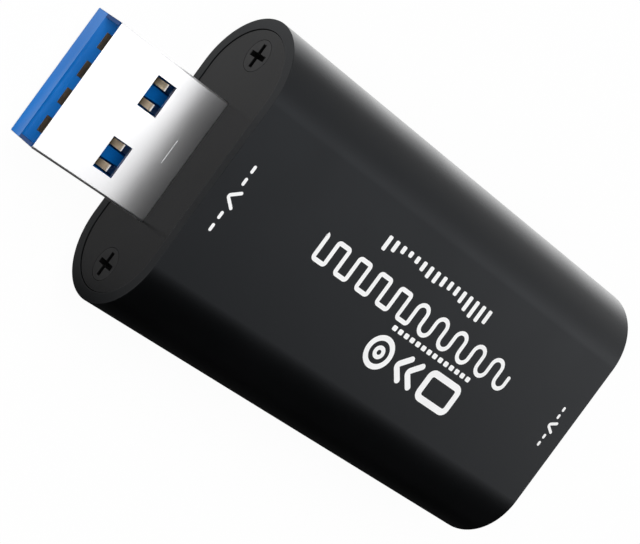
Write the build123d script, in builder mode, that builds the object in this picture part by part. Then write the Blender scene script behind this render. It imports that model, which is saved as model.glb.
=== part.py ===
from build123d import *
import math
import os

# Video capture box: a small aluminium sleeve closed by two screwed end plates.
# A type A plug stands out of the +X end and a 19-contact video socket opens at the -X end.
# Millimetres. +X points out of the plug, +Z out of the printed face.
# The origin is the middle of the whole length, on the surface that the box lies on.

os.makedirs("parts", exist_ok=True)

# Sleeve, an extrusion of stadium section
sleeve_length = 50.0
sleeve_width = 27.8
sleeve_height = 12.1
sleeve_wall = 1.0
sleeve_edge_break = 0.06

# End plates, let into the sleeve's ends and set back a little from its rims
plate_thickness = 1.2
plate_setback = 0.08
plate_gap = 0.04
plate_edge_break = 0.04
opening_clearance = 0.04

# Plate screws and the open ports that they cut into
screw_room_share = 0.61
screw_head_diameter = 3.0
screw_head_rim = 0.08
screw_seat_clearance = 0.03
screw_shank_diameter = 1.7
screw_hole_diameter = 2.0
screw_length = 6.5
screw_point_length = 0.9
screw_point_diameter = 0.6
cross_span = 2.35
cross_arm = 0.46
cross_depth = 0.6
port_diameter = 3.5
port_clearance = 0.04
port_mouth = 0.8
port_web = 1.4

# Circuit board
board_thickness = 1.2
board_play = 0.1
board_side_margin = 1.5
board_end_gap = 0.2
board_corner = 0.4
rail_width = 1.6

# Output plug
plug_reach = 12.1
plug_width = 12.0
plug_height = 4.5
plug_sheet = 0.3
plug_bend = 0.22
plug_inner_bend = 0.06
plug_drop = 1.57
plug_inside_length = 4.8
plug_mouth_break = 0.03
plug_mouth_lead = 0.22
window_length = 2.06
window_width = 2.92
window_inner_edge = 1.52
window_depth = 5.34
stamp_length = 2.25
stamp_width = 0.13
stamp_sink = 0.05
stamp_behind_window = 2.9
seam_width = 0.07
seam_sink = 0.12
ear_length = 1.8
ear_reach = 1.4
ear_inset = 1.3
notch_gap = 0.2

# Plug tongue, with its base at the rear
tongue_setback = 0.02
tongue_drop = 0.1
tongue_nose_length = 1.9
tongue_nose_drop = 0.4
tongue_side_gap = 0.03
tongue_floor = 0.3
base_depth = 11.5
base_length = 5.2

# Plug contacts, depths counted from the mouth
contact_sheet = 0.15
signal_offsets = (-4.0, -1.3, 1.3, 4.0)
signal_rear_offsets = (-3.0, -1.0, 1.0, 3.0)
signal_width = 1.45
signal_rear_width = 0.8
signal_start = 0.86
signal_wide_end = 4.9
signal_lap = 0.6
signal_dive_start = 5.5
signal_dive_end = 6.1
signal_dive = 0.4
spring_offsets = (-4.0, -2.0, 0.0, 2.0, 4.0)
spring_width = 0.75
spring_side_gap = 0.1
spring_free_end = 5.6
spring_apex_depth = 7.55
spring_apex_length = 0.24
spring_apex_rise = 0.34
spring_tip_sink = 0.42
spring_low_depth = 8.0
spring_low_sink = 0.9
spring_root_gap = 0.03
hinge_depth = 11.3
slot_front_gap = 0.25
tail_length = 1.5
tail_bend_length = 1.4
tail_width = 0.6

# Video socket
socket_width = 14.1
socket_height = 4.6
socket_side_height = 2.7
socket_foot_width = 10.4
socket_sheet = 0.3
socket_setback = 0.1
socket_depth = 11.0
socket_cavity_depth = 8.4
socket_tab_start = 1.7
socket_tab_width = 10.6
socket_tab_thickness = 1.3
socket_tab_nose = 0.2
leaf_offset = 3.4
leaf_width = 2.0
leaf_length = 4.2
leaf_start = 2.6
leaf_slit = 0.35
leg_width = 1.2
leg_front_depth = 2.4
leg_rear_depth = 8.0
leg_reach = 0.7
leg_hole_gap = 0.12
pin_pitch = 1.0
pin_width = 0.3
pin_sheet = 0.2
pin_setback = 0.4
pin_drop_gap = 0.25
pin_foot = 1.0
upper_pin_count = 10
lower_pin_count = 9

# Parts on the circuit board
chip_size = 9.0
chip_height = 0.85
chip_land_count = 14
chip_land_pitch = 0.55
chip_land_width = 0.28
chip_land_length = 0.5
chip_land_height = 0.2
chip_land_reach = 0.05
chip_mark_diameter = 0.9
chip_mark_sink = 0.1
chip_mark_inset = 1.2
pad_margin = 0.3
flash_length = 4.9
flash_width = 3.9
flash_height = 1.5
flash_lead_pitch = 1.27
flash_lead_width = 0.42
flash_lead_reach = 1.05
flash_lead_count = 4
crystal_length = 3.2
crystal_width = 2.5
crystal_base_height = 0.35
crystal_lid_height = 0.4
crystal_lid_inset = 0.2
inductor_size = 3.0
inductor_height = 1.6
inductor_corner = 0.7
inductor_dish_diameter = 1.6
inductor_dish_sink = 0.25
regulator_length = 2.9
regulator_width = 1.6
regulator_height = 1.1
regulator_lead_pitch = 0.95
regulator_lead_width = 0.4
regulator_lead_reach = 0.6
regulator_lead_count = 3
lead_sheet = 0.15
lead_foot_share = 0.55
lead_height_share = 0.45
array_length = 2.5
array_width = 1.0
array_height = 0.55
tantalum_length = 3.5
tantalum_width = 2.8
tantalum_height = 1.9
tantalum_end_length = 0.8
tantalum_end_width = 2.2
tantalum_end_sheet = 0.1
tantalum_end_height_share = 0.6
ceramic_length = 1.6
ceramic_width = 0.8
ceramic_height = 0.8
ceramic_cap_length = 0.35
resistor_height = 0.45
body_inset = 0.03
part_field_margin = 1.0

# One overrun serves every cut and every joint inside one solid
overrun = 0.5

# Places worked out from the sizes above
overall_length = sleeve_length + plug_reach
mouth_x = overall_length / 2
output_face = mouth_x - plug_reach
input_face = output_face - sleeve_length
section_mid = sleeve_height / 2
cavity_width = sleeve_width - 2 * sleeve_wall
cavity_height = sleeve_height - 2 * sleeve_wall
cavity_floor = sleeve_wall
plug_mid = section_mid - plug_drop
socket_outer_half = socket_width / 2 + socket_sheet
screw_side_room = cavity_width / 2 - screw_head_diameter / 2
screw_room = screw_side_room - port_diameter / 2 - socket_outer_half
screw_place = socket_outer_half + port_diameter / 2 + screw_room * screw_room_share
screw_span = 2 * screw_place
screw_inset = sleeve_width / 2 - screw_place
screw_cone_height = (screw_head_diameter - screw_shank_diameter) / 2
screw_head_height = screw_head_rim + screw_cone_height
board_top = section_mid - port_diameter / 2 - board_play
board_bottom = board_top - board_thickness
board_width = cavity_width - 2 * board_side_margin
plate_depth = plate_setback + plate_thickness
board_front = output_face - plate_depth - board_end_gap
board_rear = input_face + plate_depth + board_end_gap
shell_rear = output_face - plug_inside_length
notch_rear = shell_rear - notch_gap
plug_inner_width = plug_width - 2 * plug_sheet
plug_inner_height = plug_height - 2 * plug_sheet
plug_inner_floor = plug_mid - plug_inner_height / 2
tongue_top = plug_mid - tongue_drop
slot_floor = plug_inner_floor + tongue_floor
base_front = mouth_x - base_depth
base_rear = base_front - base_length
contact_low = tongue_top - spring_low_sink
socket_mid = board_top + socket_sheet + socket_height / 2
socket_mouth = input_face + socket_setback
socket_rear = socket_mouth + socket_depth
block_front = socket_mouth + socket_cavity_depth
pin_drop_x = socket_rear + pin_drop_gap + pin_sheet / 2
pin_end = pin_drop_x + pin_foot

# Outward planes of the end plates, centred on the sleeve's section, local y upwards
output_plate_x = output_face - plate_setback
input_plate_x = input_face + plate_setback
output_plane = Plane(origin=(output_plate_x, 0, section_mid), x_dir=(0, 1, 0), z_dir=(1, 0, 0))
input_plane = Plane(origin=(input_plate_x, 0, section_mid), x_dir=(0, -1, 0), z_dir=(-1, 0, 0))


def section_plane(x):
    """A plane across the box at x, local x along Y and local y up."""
    return Plane(origin=(x, 0, 0), x_dir=(0, 1, 0), z_dir=(1, 0, 0))


def side_plane(y):
    """A plane along the box at y, local x along X and local y up."""
    return Plane(origin=(0, y, 0), x_dir=(1, 0, 0), z_dir=(0, -1, 0))


def block(low, high, mode=Mode.ADD):
    """A box between two corners, joined to or cut from the part being made."""
    size = [b - a for a, b in zip(low, high)]
    middle = [(a + b) / 2 for a, b in zip(low, high)]
    with Locations(tuple(middle)):
        Box(*size, mode=mode)


def strip_outline(path, thickness):
    """The closed outline of a bent strip of even thickness about a path of points."""
    count = len(path)
    directions = []
    for start, end in zip(path, path[1:]):
        run = math.hypot(end[0] - start[0], end[1] - start[1])
        directions.append(((end[0] - start[0]) / run, (end[1] - start[1]) / run))
    left = []
    right = []
    for index, (x, z) in enumerate(path):
        before = directions[max(index - 1, 0)]
        after = directions[min(index, count - 2)]
        cosine = before[0] * after[0] + before[1] * after[1]
        reach = thickness / 2 / (1 + cosine)
        shift_x = -(before[1] + after[1]) * reach
        shift_z = (before[0] + after[0]) * reach
        left.append((x + shift_x, z + shift_z))
        right.append((x - shift_x, z - shift_z))
    return left + right[::-1]


def strip_section(plane, path, thickness):
    """The side view of a bent strip, on a plane."""
    with BuildSketch(plane, mode=Mode.PRIVATE) as section:
        with BuildLine():
            Polyline(*strip_outline(path, thickness), close=True)
        make_face()
    return section.sketch


def finish(part, label):
    """Names a finished piece and writes its file."""
    part.label = label
    export_step(part, "parts/" + label + ".step")


# Sleeve
with BuildPart() as housing_sleeve:
    with BuildSketch(section_plane(input_face)):
        with Locations((0, section_mid)):
            SlotOverall(sleeve_width, sleeve_height)
            SlotOverall(cavity_width, cavity_height, mode=Mode.SUBTRACT)
    extrude(amount=sleeve_length)
    end_faces = housing_sleeve.faces().filter_by(Axis.X)
    outer_rims = [edge for face in end_faces for edge in face.outer_wire().edges()]
    chamfer(outer_rims, sleeve_edge_break)
    with BuildSketch(section_plane(input_face + plate_depth)):
        with Locations((0, section_mid)):
            with GridLocations(screw_span, 0, 2, 1):
                Circle(port_diameter / 2)
        for side in (-1, 1):
            with Locations((side * (screw_span + screw_inset) / 2, section_mid)):
                Rectangle(screw_inset, port_web)
            rail_middle = side * (board_width / 2 - rail_width / 2 + sleeve_wall)
            with Locations((rail_middle, board_bottom)):
                Rectangle(rail_width + 2 * sleeve_wall, board_bottom, align=(Align.CENTER, Align.MAX))
        with Locations((0, section_mid)):
            SlotOverall(sleeve_width - sleeve_wall, sleeve_height - sleeve_wall, mode=Mode.INTERSECT)
            with GridLocations(screw_span, 0, 2, 1):
                Circle(screw_shank_diameter / 2 + port_clearance, mode=Mode.SUBTRACT)
        for side in (-1, 1):
            with Locations((side * (screw_span - port_diameter) / 2, section_mid)):
                Rectangle(port_diameter, port_mouth, mode=Mode.SUBTRACT)
    extrude(amount=sleeve_length - 2 * plate_depth)
finish(housing_sleeve.part, "housing_sleeve")


# End plates
with BuildSketch() as plug_opening:
    with Locations((0, plug_mid - section_mid)):
        RectangleRounded(
            plug_width + 2 * opening_clearance,
            plug_height + 2 * opening_clearance,
            plug_bend + opening_clearance,
        )

socket_half = socket_width / 2
socket_top = socket_height / 2
socket_points = [
    (-socket_half, socket_top),
    (-socket_half, socket_top - socket_side_height),
    (-socket_foot_width / 2, -socket_top),
    (socket_foot_width / 2, -socket_top),
    (socket_half, socket_top - socket_side_height),
    (socket_half, socket_top),
]

with BuildSketch() as socket_bore:
    with BuildLine():
        Polyline(*socket_points, close=True)
    make_face()

with BuildSketch() as socket_outside:
    with BuildLine():
        Polyline(*socket_points, close=True)
    make_face()
    offset(amount=socket_sheet, kind=Kind.ARC)

with BuildSketch() as socket_opening:
    with BuildLine():
        Polyline(*socket_points, close=True)
    make_face()
    offset(amount=socket_sheet + opening_clearance, kind=Kind.ARC)


def make_end_plate(label, outward, opening, opening_shift):
    """A plate with its outer face on the given plane, an opening and two sunk screw holes."""
    with BuildPart(outward) as plate:
        with BuildSketch(outward):
            SlotOverall(cavity_width - 2 * plate_gap, cavity_height - 2 * plate_gap)
        extrude(amount=-plate_thickness)
        outer_face = plate.faces().sort_by(Axis(outward.origin, outward.z_dir))[-1]
        chamfer(outer_face.edges(), plate_edge_break)
        with BuildSketch(outward):
            with Locations((0, opening_shift)):
                add(opening)
        extrude(amount=-plate_thickness, mode=Mode.SUBTRACT)
        with GridLocations(screw_span, 0, 2, 1):
            CounterSinkHole(
                radius=screw_hole_diameter / 2,
                counter_sink_radius=screw_head_diameter / 2 + screw_head_rim + screw_seat_clearance,
                depth=plate_thickness,
                counter_sink_angle=90,
            )
    finish(plate.part, label)


make_end_plate("output_end_plate", output_plane, plug_opening.sketch, 0)
make_end_plate("input_end_plate", input_plane, socket_opening.sketch, socket_mid - section_mid)


# Plate screws
def make_plate_screws(label, outward):
    """Two countersunk screws, heads flush with the given plane."""
    with BuildPart(outward) as screws:
        with GridLocations(screw_span, 0, 2, 1):
            Cylinder(
                screw_head_diameter / 2,
                screw_head_rim,
                align=(Align.CENTER, Align.CENTER, Align.MAX),
            )
            with Locations((0, 0, -screw_head_rim)):
                Cone(
                    screw_shank_diameter / 2,
                    screw_head_diameter / 2,
                    screw_cone_height,
                    align=(Align.CENTER, Align.CENTER, Align.MAX),
                )
            shank_length = screw_length - screw_head_height - screw_point_length
            with Locations((0, 0, -screw_head_height)):
                Cylinder(
                    screw_shank_diameter / 2,
                    shank_length,
                    align=(Align.CENTER, Align.CENTER, Align.MAX),
                )
            with Locations((0, 0, screw_point_length - screw_length)):
                Cone(
                    screw_point_diameter / 2,
                    screw_shank_diameter / 2,
                    screw_point_length,
                    align=(Align.CENTER, Align.CENTER, Align.MAX),
                )
            for arm_length, arm_width in ((cross_span, cross_arm), (cross_arm, cross_span)):
                Box(
                    arm_length,
                    arm_width,
                    cross_depth,
                    align=(Align.CENTER, Align.CENTER, Align.MAX),
                    mode=Mode.SUBTRACT,
                )
    finish(screws.part, label)


make_plate_screws("output_plate_screws", output_plane)
make_plate_screws("input_plate_screws", input_plane)


# Circuit board
def leg_places():
    """The lower left corners of the socket's four legs, seen from above."""
    inner = socket_width / 2
    for depth in (leg_front_depth, leg_rear_depth):
        yield socket_mouth + depth, inner
        yield socket_mouth + depth, -inner - socket_sheet


with BuildPart() as circuit_board:
    block(
        (board_rear, -board_width / 2, board_bottom),
        (board_front, board_width / 2, board_top),
    )
    fillet(circuit_board.edges().filter_by(Axis.Z), board_corner)
    notch_half = plug_width / 2 + notch_gap
    block(
        (notch_rear, -notch_half, board_bottom - overrun),
        (board_front + overrun, notch_half, board_top + overrun),
        Mode.SUBTRACT,
    )
    for leg_x, leg_y in leg_places():
        block(
            (leg_x - leg_hole_gap, leg_y - leg_hole_gap, board_bottom - overrun),
            (
                leg_x + leg_width + leg_hole_gap,
                leg_y + socket_sheet + leg_hole_gap,
                board_top + overrun,
            ),
            Mode.SUBTRACT,
        )
finish(circuit_board.part, "circuit_board")


# Plug shell, folded from sheet
with BuildPart() as plug_shell:
    with BuildSketch(section_plane(shell_rear)):
        with Locations((0, plug_mid)):
            RectangleRounded(plug_width, plug_height, plug_bend)
            RectangleRounded(
                plug_inner_width,
                plug_inner_height,
                plug_inner_bend,
                mode=Mode.SUBTRACT,
            )
    extrude(amount=plug_reach + plug_inside_length)
    mouth_face = plug_shell.faces().sort_by(Axis.X)[-1]
    chamfer(mouth_face.outer_wire().edges(), plug_mouth_break)
    mouth_face = plug_shell.faces().sort_by(Axis.X)[-1]
    chamfer(mouth_face.inner_wires()[0].edges(), plug_mouth_lead)
    window_front = mouth_x - window_depth
    window_rear = window_front - window_length
    for side in (-1, 1):
        window_edges = sorted((side * window_inner_edge, side * (window_inner_edge + window_width)))
        block(
            (window_rear, window_edges[0], plug_mid - plug_height),
            (window_front, window_edges[1], plug_mid + plug_height),
            Mode.SUBTRACT,
        )
    plug_top = plug_mid + plug_height / 2
    plug_bottom = plug_mid - plug_height / 2
    stamp_middle = window_rear - stamp_behind_window
    block(
        (stamp_middle - stamp_width / 2, -stamp_length / 2, plug_top - stamp_sink),
        (stamp_middle + stamp_width / 2, stamp_length / 2, plug_top + overrun),
        Mode.SUBTRACT,
    )
    block(
        (shell_rear - overrun, -seam_width / 2, plug_bottom - overrun),
        (mouth_x + overrun, seam_width / 2, plug_bottom + seam_sink),
        Mode.SUBTRACT,
    )
    ear_front = shell_rear + ear_inset + ear_length
    for side in (-1, 1):
        ear_edges = sorted((side * (plug_width - plug_sheet) / 2, side * (plug_width / 2 + ear_reach)))
        block(
            (ear_front - ear_length, ear_edges[0], board_top),
            (ear_front, ear_edges[1], board_top + plug_sheet),
        )
finish(plug_shell.part, "plug_shell")


# Plug contacts: their bent profiles, seen from the side
signal_top_z = tongue_top - contact_sheet / 2
signal_low_z = signal_top_z - signal_dive
upper_tail_z = board_top + contact_sheet / 2
lower_tail_z = board_bottom - contact_sheet / 2
tail_end = notch_rear - tail_length
tail_bend_end = base_rear + tail_bend_length
signal_bend_start = base_front - tail_bend_length
hinge_x = mouth_x - hinge_depth
nose_front = mouth_x - tongue_setback
nose_rear = nose_front - tongue_nose_length

nose_slope = tongue_nose_drop / tongue_nose_length
signal_front_path = [
    (mouth_x - signal_start, signal_top_z - nose_slope * (mouth_x - signal_start - nose_rear)),
    (nose_rear, signal_top_z),
    (mouth_x - signal_wide_end, signal_top_z),
]
signal_rear_path = [
    (mouth_x - signal_wide_end + signal_lap, signal_top_z),
    (mouth_x - signal_dive_start, signal_top_z),
    (mouth_x - signal_dive_end, signal_low_z),
    (signal_bend_start, signal_low_z),
    (tail_bend_end, lower_tail_z),
    (tail_end, lower_tail_z),
]
root_path = [
    (hinge_x - contact_sheet / 2 - spring_root_gap, contact_low),
    (signal_bend_start, contact_low),
    (tail_bend_end, upper_tail_z),
    (tail_end, upper_tail_z),
]
spring_apex_z = tongue_top + spring_apex_rise - contact_sheet / 2
spring_path = [
    (hinge_x, contact_low),
    (mouth_x - spring_low_depth, contact_low),
    (mouth_x - spring_apex_depth - spring_apex_length / 2, spring_apex_z),
    (mouth_x - spring_apex_depth + spring_apex_length / 2, spring_apex_z),
    (mouth_x - spring_free_end, tongue_top - spring_tip_sink),
]


def cut_or_join_strip(path, offset, width, mode=Mode.ADD):
    """A bent strip of the contacts' sheet, centred on the given y."""
    section = strip_section(side_plane(offset), path, contact_sheet)
    extrude(section, amount=width / 2, both=True, mode=mode)


def cut_or_join_signal(front_offset, rear_offset, mode=Mode.ADD):
    """A pad on the tongue and the narrower strip that runs back from it between the springs."""
    cut_or_join_strip(signal_front_path, front_offset, signal_width, mode)
    cut_or_join_strip(signal_rear_path, rear_offset, signal_rear_width, mode)


# Plug tongue: its nose slopes down to the mouth and flares to fill the chamfer inside the shell's rim
flare_rear = mouth_x - plug_mouth_lead + tongue_side_gap
nose_flare = nose_front - flare_rear
tongue_width = plug_inner_width - 2 * tongue_side_gap
base_top = plug_mid + plug_inner_height / 2 - tongue_side_gap

with BuildPart() as plug_tongue:
    with BuildSketch(section_plane(base_rear)):
        with Locations((0, plug_mid)):
            RectangleRounded(tongue_width, plug_inner_height, plug_inner_bend)
    extrude(amount=flare_rear - base_rear)
    for flare_x, growth in ((flare_rear, 0), (nose_front, nose_flare)):
        with BuildSketch(section_plane(flare_x)):
            with Locations((0, plug_mid)):
                RectangleRounded(
                    tongue_width + 2 * growth,
                    plug_inner_height + 2 * growth,
                    plug_inner_bend + growth,
                )
    loft(ruled=True)
    with BuildSketch(side_plane(0)):
        with BuildLine():
            Polyline(
                (base_rear, plug_mid - plug_height),
                (mouth_x, plug_mid - plug_height),
                (mouth_x, tongue_top - tongue_nose_drop),
                (nose_front, tongue_top - tongue_nose_drop),
                (nose_rear, tongue_top),
                (base_front, tongue_top),
                (base_front, base_top),
                (base_rear, base_top),
                close=True,
            )
        make_face()
    extrude(amount=plug_width, both=True, mode=Mode.INTERSECT)
    slot_front = mouth_x - spring_free_end + slot_front_gap
    for offset in spring_offsets:
        slot_half = spring_width / 2 + spring_side_gap
        block(
            (base_front, offset - slot_half, slot_floor),
            (slot_front, offset + slot_half, tongue_top + overrun),
            Mode.SUBTRACT,
        )
        cut_or_join_strip(root_path, offset, tail_width, Mode.SUBTRACT)
    for front_offset, rear_offset in zip(signal_offsets, signal_rear_offsets):
        cut_or_join_signal(front_offset, rear_offset, Mode.SUBTRACT)
finish(plug_tongue.part, "plug_tongue")

with BuildPart() as plug_signal_contacts:
    for front_offset, rear_offset in zip(signal_offsets, signal_rear_offsets):
        cut_or_join_signal(front_offset, rear_offset)
finish(plug_signal_contacts.part, "plug_signal_contacts")

with BuildPart() as plug_spring_roots:
    for offset in spring_offsets:
        cut_or_join_strip(root_path, offset, tail_width)
finish(plug_spring_roots.part, "plug_spring_roots")

# The sprung ends turn about a line across their roots
with BuildPart() as plug_contact_springs:
    for offset in spring_offsets:
        cut_or_join_strip(spring_path, offset, spring_width)
        with Locations(side_plane(offset)):
            with Locations((hinge_x, contact_low)):
                Cylinder(contact_sheet / 2, spring_width)
finish(plug_contact_springs.part, "plug_contact_springs")


# Video socket shell, folded from sheet
with BuildPart() as video_socket_shell:
    with BuildSketch(section_plane(socket_mouth)):
        with Locations((0, socket_mid)):
            add(socket_outside.sketch)
            add(socket_bore.sketch, mode=Mode.SUBTRACT)
    extrude(amount=socket_depth)
    leaf_front = socket_mouth + leaf_start
    leaf_rear = leaf_front + leaf_length
    for offset in (-leaf_offset, leaf_offset):
        for wall_z in (socket_mid - socket_height / 2, socket_mid + socket_height / 2):
            low_z = wall_z - socket_sheet - overrun
            high_z = wall_z + socket_sheet + overrun
            leaf_low = offset - leaf_width / 2
            leaf_high = offset + leaf_width / 2
            block(
                (leaf_front - leaf_slit, leaf_low - leaf_slit, low_z),
                (leaf_front, leaf_high + leaf_slit, high_z),
                Mode.SUBTRACT,
            )
            for slit_low in (leaf_low - leaf_slit, leaf_high):
                block(
                    (leaf_front - leaf_slit, slit_low, low_z),
                    (leaf_rear, slit_low + leaf_slit, high_z),
                    Mode.SUBTRACT,
                )
    shoulder_z = socket_mid + socket_height / 2 - socket_side_height
    for leg_x, leg_y in leg_places():
        block(
            (leg_x, leg_y, board_bottom - leg_reach),
            (leg_x + leg_width, leg_y + socket_sheet, shoulder_z + overrun),
        )
finish(video_socket_shell.part, "video_socket_shell")


# Video socket contacts: bent strips in two rows
upper_pin_z = socket_mid + socket_tab_thickness / 2 - pin_sheet / 2
lower_pin_z = socket_mid - socket_tab_thickness / 2 + pin_sheet / 2
pin_foot_z = board_top + pin_sheet / 2


def pin_path(row_z):
    """A socket contact's line: along the tab, out at the rear, down and onto the board."""
    return [
        (socket_mouth + socket_tab_start + pin_setback, row_z),
        (pin_drop_x, row_z),
        (pin_drop_x, pin_foot_z),
        (pin_end, pin_foot_z),
    ]


def pin_offsets(count):
    """The places of one row of contacts across the socket."""
    return [(index - (count - 1) / 2) * pin_pitch for index in range(count)]


def cut_or_join_pin(row_z, offset, mode=Mode.ADD):
    """One socket contact, centred on the given y."""
    section = strip_section(side_plane(offset), pin_path(row_z), pin_sheet)
    extrude(section, amount=pin_width / 2, both=True, mode=mode)


with BuildPart() as video_socket_block:
    with BuildSketch(section_plane(block_front)):
        with Locations((0, socket_mid)):
            add(socket_bore.sketch)
    extrude(amount=socket_rear - block_front)
    tab_front = socket_mouth + socket_tab_start
    with BuildSketch(section_plane(tab_front)):
        with Locations((0, socket_mid)):
            Rectangle(socket_tab_width, socket_tab_thickness)
    extrude(amount=block_front - tab_front + overrun)
    tab_nose = video_socket_block.faces().sort_by(Axis.X)[0].edges().filter_by(Axis.Y)
    chamfer(tab_nose, socket_tab_nose)
    for offset in pin_offsets(upper_pin_count):
        cut_or_join_pin(upper_pin_z, offset, Mode.SUBTRACT)
    for offset in pin_offsets(lower_pin_count):
        cut_or_join_pin(lower_pin_z, offset, Mode.SUBTRACT)
finish(video_socket_block.part, "video_socket_block")

with BuildPart() as video_socket_upper_contacts:
    for offset in pin_offsets(upper_pin_count):
        cut_or_join_pin(upper_pin_z, offset)
finish(video_socket_upper_contacts.part, "video_socket_upper_contacts")

with BuildPart() as video_socket_lower_contacts:
    for offset in pin_offsets(lower_pin_count):
        cut_or_join_pin(lower_pin_z, offset)
finish(video_socket_lower_contacts.part, "video_socket_lower_contacts")


# Capture chip under the board, and the soft pad that carries its heat to the sleeve
chip_x = (board_rear + board_front) / 2
chip_bottom = board_bottom - chip_height

with BuildPart() as capture_chip:
    chip_half = chip_size / 2
    block(
        (chip_x - chip_half, -chip_half, chip_bottom),
        (chip_x + chip_half, chip_half, board_bottom),
    )
    land_low = board_bottom - chip_land_height
    land_in = chip_half - chip_land_length
    land_out = chip_half + chip_land_reach
    for index in range(chip_land_count):
        along = (index - (chip_land_count - 1) / 2) * chip_land_pitch
        near = along - chip_land_width / 2
        far = along + chip_land_width / 2
        for side in (-1, 1):
            edge_low, edge_high = sorted((side * land_in, side * land_out))
            block((chip_x + edge_low, near, land_low), (chip_x + edge_high, far, board_bottom))
            block((chip_x + near, edge_low, land_low), (chip_x + far, edge_high, board_bottom))
    mark_place = chip_half - chip_mark_inset
    with Locations((chip_x - mark_place, mark_place, chip_bottom)):
        Cylinder(
            chip_mark_diameter / 2,
            chip_mark_sink,
            align=(Align.CENTER, Align.CENTER, Align.MIN),
            mode=Mode.SUBTRACT,
        )
finish(capture_chip.part, "capture_chip")

with BuildPart() as thermal_pad:
    pad_half = chip_size / 2 - pad_margin
    block(
        (chip_x - pad_half, -pad_half, cavity_floor),
        (chip_x + pad_half, pad_half, chip_bottom),
    )
finish(thermal_pad.part, "thermal_pad")


# Parts on top of the board, placed by shares of the free field between socket and plug
field_rear = pin_end + part_field_margin
field_front = tail_end - part_field_margin
field_half = screw_span / 2 - port_diameter / 2

flash_share = (0.22, 0.62)
crystal_share = (0.44, 0.64)
inductor_shares = [(0.68, -0.62), (0.86, -0.62)]
regulator_shares = [(0.61, 0.62), (0.77, 0.62)]
array_shares = [(0.06, -0.55), (0.06, -0.15)]
tantalum_shares = [(0.27, -0.62), (0.47, -0.62)]
ceramic_shares = [
    (0.24, -0.08),
    (0.34, -0.08),
    (0.44, -0.08),
    (0.54, -0.08),
    (0.64, -0.08),
    (0.74, -0.08),
    (0.84, -0.08),
    (0.94, -0.08),
    (0.34, 0.17),
    (0.44, 0.17),
    (0.74, 0.17),
    (0.84, 0.17),
]
resistor_shares = [
    (0.04, 0.2),
    (0.04, 0.45),
    (0.04, 0.7),
    (0.16, -0.08),
    (0.54, 0.17),
    (0.64, 0.17),
    (0.94, 0.17),
    (0.9, 0.6),
]


def field_place(share):
    """A place on the board's upper face."""
    across = share[1] * field_half
    return field_rear + share[0] * (field_front - field_rear), across


def join_lead(start_x, middle_y, reach, height, width):
    """A gull-wing lead from a package's long side down to the board."""
    side = math.copysign(1, reach)
    foot = reach * lead_foot_share
    top_z = board_top + height * lead_height_share
    foot_z = board_top + lead_sheet / 2
    path = [
        (middle_y - side * lead_sheet, top_z),
        (middle_y + reach - foot, top_z),
        (middle_y + reach - foot + side * lead_sheet, foot_z),
        (middle_y + reach, foot_z),
    ]
    section = strip_section(section_plane(start_x), path, lead_sheet)
    extrude(section, amount=width / 2, both=True)


def leaded_package(place, length, width, height, lead_count, pitch, lead_width, reach):
    """A moulded package lying along X, with leads down both long sides."""
    middle_x, middle_y = place
    block(
        (middle_x - length / 2, middle_y - width / 2, board_top + lead_sheet),
        (middle_x + length / 2, middle_y + width / 2, board_top + height),
    )
    for index in range(lead_count):
        lead_x = middle_x + (index - (lead_count - 1) / 2) * pitch
        for side in (-1, 1):
            join_lead(lead_x, middle_y + side * width / 2, side * reach, height, lead_width)


with BuildPart() as flash_memory:
    leaded_package(
        field_place(flash_share),
        flash_length,
        flash_width,
        flash_height,
        flash_lead_count,
        flash_lead_pitch,
        flash_lead_width,
        flash_lead_reach,
    )
finish(flash_memory.part, "flash_memory")

with BuildPart() as crystal:
    crystal_x, crystal_y = field_place(crystal_share)
    with Locations((crystal_x, crystal_y, board_top)):
        Box(
            crystal_length,
            crystal_width,
            crystal_base_height,
            align=(Align.CENTER, Align.CENTER, Align.MIN),
        )
    with Locations((crystal_x, crystal_y, board_top + crystal_base_height)):
        Box(
            crystal_length - 2 * crystal_lid_inset,
            crystal_width - 2 * crystal_lid_inset,
            crystal_lid_height,
            align=(Align.CENTER, Align.CENTER, Align.MIN),
        )
finish(crystal.part, "crystal")

with BuildPart() as power_inductors:
    for share in inductor_shares:
        place_x, place_y = field_place(share)
        with BuildSketch(Plane.XY.offset(board_top)):
            with Locations((place_x, place_y)):
                RectangleRounded(inductor_size, inductor_size, inductor_corner)
        extrude(amount=inductor_height)
        with Locations((place_x, place_y, board_top + inductor_height)):
            Cylinder(
                inductor_dish_diameter / 2,
                inductor_dish_sink,
                align=(Align.CENTER, Align.CENTER, Align.MAX),
                mode=Mode.SUBTRACT,
            )
finish(power_inductors.part, "power_inductors")

with BuildPart() as voltage_regulators:
    for share in regulator_shares:
        leaded_package(
            field_place(share),
            regulator_length,
            regulator_width,
            regulator_height,
            regulator_lead_count,
            regulator_lead_pitch,
            regulator_lead_width,
            regulator_lead_reach,
        )
finish(voltage_regulators.part, "voltage_regulators")

with BuildPart() as surge_protectors:
    for share in array_shares:
        place_x, place_y = field_place(share)
        block(
            (place_x - array_width / 2, place_y - array_length / 2, board_top),
            (place_x + array_width / 2, place_y + array_length / 2, board_top + array_height),
        )
finish(surge_protectors.part, "surge_protectors")

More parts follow.
